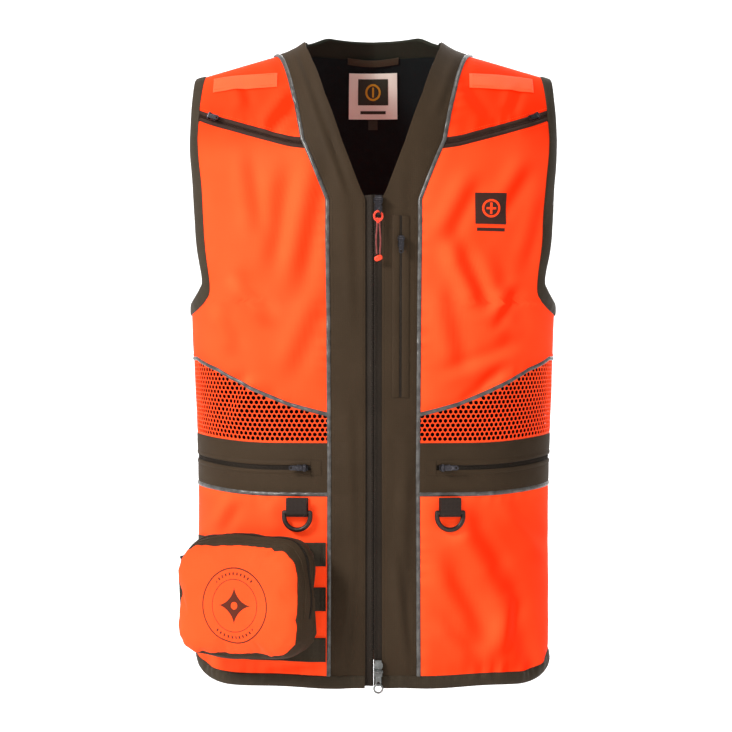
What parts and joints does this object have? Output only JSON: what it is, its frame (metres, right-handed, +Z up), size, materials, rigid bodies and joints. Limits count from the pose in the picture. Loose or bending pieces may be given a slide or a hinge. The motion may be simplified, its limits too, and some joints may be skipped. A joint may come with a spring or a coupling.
{
  "type": "hunting vest",
  "caption": "Blaze orange sleeveless vest with a two-way front zip, mesh sides, zipped pockets, D-rings and a webbing-mounted pouch.",
  "frame": {"origin": "midway between the two neck-to-shoulder seams, where the vest hangs on its wearer", "axes": "+Z up, -Y out of the chest, +X to the wearer's left"},
  "size_m": [0.4137, 0.308, 0.7171],
  "materials": {
    "orange_cloth": "matt high-visibility polyester weave",
    "orange_mesh": "open hexagonal air mesh",
    "olive_cloth": "fine matt ripstop",
    "olive_binding": "folded grosgrain binding",
    "black_lining": "perforated knit mesh",
    "label_cloth": "woven satin label",
    "zip_tape": "herringbone zip tape with coil teeth",
    "reflective_piping": "glass-bead reflective cord cover",
    "dark_webbing": "ribbed nylon webbing",
    "gunmetal": "gunmetal plated die-cast zinc",
    "grey_metal": "worn nickel plated die-cast zinc",
    "red_cord": "braided polyester cord",
    "red_plastic": "moulded soft plastic"
  },
  "bodies": {
    "torso": {"back_yoke": "orange_cloth", "back_upper": "orange_cloth", "back_mesh": "orange_mesh", "back_band": "olive_cloth", "back_lower": "orange_cloth", "back_hem": "olive_binding", "back_lining": "black_lining", "collar_band": "olive_cloth", "hanger_loop": "olive_binding", "neck_label": "label_cloth", "armhole_bindings": "olive_binding", "shoulder_tabs": "orange_cloth"},
    "front_left": {"placket_left": "olive_cloth", "yoke_left": "orange_cloth", "chest_left": "orange_cloth", "mesh_left": "orange_mesh", "band_left": "olive_cloth", "lower_left": "orange_cloth", "binding_left": "olive_binding", "piping_left": "reflective_piping", "main_zip_left": "zip_tape", "pocket_zips_left": "zip_tape", "ring_webbing_left": "dark_webbing", "chest_zip": "zip_tape"},
    "front_right": {"placket_right": "olive_cloth", "yoke_right": "orange_cloth", "chest_right": "orange_cloth", "mesh_right": "orange_mesh", "band_right": "olive_cloth", "lower_right": "orange_cloth", "binding_right": "olive_binding", "piping_right": "reflective_piping", "main_zip_right": "zip_tape", "pocket_zips_right": "zip_tape", "ring_webbing_right": "dark_webbing", "molle_webbing": "dark_webbing", "pouch_straps": "dark_webbing"},
    "pouch": {"pouch_back": "olive_cloth", "pouch_gusset": "olive_cloth", "pouch_front": "orange_cloth"},
    "main_top_slider": {"main_top_slider": "gunmetal"},
    "main_top_pull": {"main_top_pull": "gunmetal", "pull_cord": "red_cord", "cord_end": "red_plastic"},
    "main_bottom_slider": {"main_bottom_slider": "grey_metal"},
    "main_bottom_pull": {"main_bottom_pull": "grey_metal"},
    "chest_slider": {"chest_slider": "gunmetal"},
    "chest_pull": {"chest_pull": "gunmetal"},
    "yoke_slider_left": {"yoke_slider_left": "gunmetal"},
    "yoke_slider_right": {"yoke_slider_right": "gunmetal"},
    "yoke_pull_left": {"yoke_pull_left": "gunmetal"},
    "yoke_pull_right": {"yoke_pull_right": "gunmetal"},
    "waist_slider_left": {"waist_slider_left": "gunmetal"},
    "waist_slider_right": {"waist_slider_right": "gunmetal"},
    "waist_pull_left": {"waist_pull_left": "gunmetal"},
    "waist_pull_right": {"waist_pull_right": "gunmetal"},
    "d_ring_left": {"d_ring_left": "gunmetal"},
    "d_ring_right": {"d_ring_right": "gunmetal"},
    "pouch_slider": {"pouch_slider": "gunmetal"},
    "pouch_pull": {"pouch_pull": "gunmetal"}
  },
  "joints": [
    {"name": "front_left_open", "type": "hinge", "parent": "torso", "child": "front_left", "pos_m": [0.1885, -0.041, -0.688], "axis": [0.0162, 0, 0.9999], "range_deg": [0, 45]},
    {"name": "front_right_open", "type": "hinge", "parent": "torso", "child": "front_right", "pos_m": [-0.1885, -0.041, -0.688], "axis": [0.0162, 0, -0.9999], "range_deg": [0, 45]},
    {"name": "main_top_slide", "type": "slide", "parent": "front_left", "child": "main_top_slider", "axis": [0, 0, 1], "range_m": [-0.4, 0]},
    {"name": "main_top_pull_swing", "type": "hinge", "parent": "main_top_slider", "child": "main_top_pull", "pos_m": [0.0049, -0.1323, -0.174], "axis": [-1, 0, 0], "range_deg": [0, 150]},
    {"name": "main_bottom_slide", "type": "slide", "parent": "front_left", "child": "main_bottom_slider", "axis": [0, 0, 1], "range_m": [0, 0.4]},
    {"name": "main_bottom_pull_swing", "type": "hinge", "parent": "main_bottom_slider", "child": "main_bottom_pull", "pos_m": [0.0049, -0.1323, -0.669], "axis": [-1, 0, 0], "range_deg": [0, 150]},
    {"name": "chest_slide", "type": "slide", "parent": "front_left", "child": "chest_slider", "axis": [0, 0, 1], "range_m": [-0.15, 0]},
    {"name": "chest_pull_swing", "type": "hinge", "parent": "chest_slider", "child": "chest_pull", "pos_m": [0.02886, -0.13262, -0.215], "axis": [-0.9992, -0.0396, 0], "range_deg": [0, 150]},
    {"name": "yoke_left_slide", "type": "hinge", "parent": "front_left", "child": "yoke_slider_left", "pos_m": [0.0205, 0.1461, -0.1336], "axis": [0.287, -0.0302, -0.9575], "range_deg": [0, 16]},
    {"name": "yoke_left_pull_swing", "type": "hinge", "parent": "yoke_slider_left", "child": "yoke_pull_left", "pos_m": [0.17699, -0.06204, -0.07922], "axis": [-0.4072, 0.0962, 0.9082], "range_deg": [0, 140]},
    {"name": "yoke_right_slide", "type": "hinge", "parent": "front_right", "child": "yoke_slider_right", "pos_m": [-0.0205, 0.1461, -0.1336], "axis": [0.287, 0.0302, 0.9575], "range_deg": [0, 16]},
    {"name": "yoke_right_pull_swing", "type": "hinge", "parent": "yoke_slider_right", "child": "yoke_pull_right", "pos_m": [-0.17699, -0.06204, -0.07922], "axis": [-0.4072, -0.0962, -0.9082], "range_deg": [0, 140]},
    {"name": "waist_left_slide", "type": "hinge", "parent": "front_left", "child": "waist_slider_left", "pos_m": [0.0431, 0.0735, -0.456], "axis": [0, 0, 1], "range_deg": [0, 18]},
    {"name": "waist_left_pull_swing", "type": "hinge", "parent": "waist_slider_left", "child": "waist_pull_left", "pos_m": [0.07245, -0.12674, -0.45602], "axis": [-0.0005, 0.0029, -1], "range_deg": [0, 140]},
    {"name": "waist_right_slide", "type": "hinge", "parent": "front_right", "child": "waist_slider_right", "pos_m": [-0.0431, 0.0735, -0.456], "axis": [0, 0, -1], "range_deg": [0, 18]},
    {"name": "waist_right_pull_swing", "type": "hinge", "parent": "waist_slider_right", "child": "waist_pull_right", "pos_m": [-0.07245, -0.12674, -0.45602], "axis": [-0.0005, -0.0029, 1], "range_deg": [0, 140]},
    {"name": "d_ring_left_swing", "type": "hinge", "parent": "front_left", "child": "d_ring_left", "pos_m": [0.08031, -0.12403, -0.503], "axis": [-0.98, -0.1992, 0], "range_deg": [0, 105]},
    {"name": "d_ring_right_swing", "type": "hinge", "parent": "front_right", "child": "d_ring_right", "pos_m": [-0.08031, -0.12403, -0.503], "axis": [-0.98, 0.1992, 0], "range_deg": [0, 105]},
    {"name": "pouch_tilt", "type": "hinge", "parent": "front_right", "child": "pouch", "pos_m": [-0.121, -0.1125, -0.5245], "axis": [-0.9063, 0.4226, 0], "range_deg": [0, 20]},
    {"name": "pouch_slide", "type": "hinge", "parent": "pouch", "child": "pouch_slider", "pos_m": [-0.17008, -0.1172, -0.5545], "axis": [0.4226, 0.9063, 0], "range_deg": [0, 88]},
    {"name": "pouch_pull_swing", "type": "hinge", "parent": "pouch_slider", "child": "pouch_pull", "pos_m": [-0.20226, -0.10219, -0.5515], "axis": [0.4226, 0.9063, 0], "range_deg": [0, 150]}
  ]
}
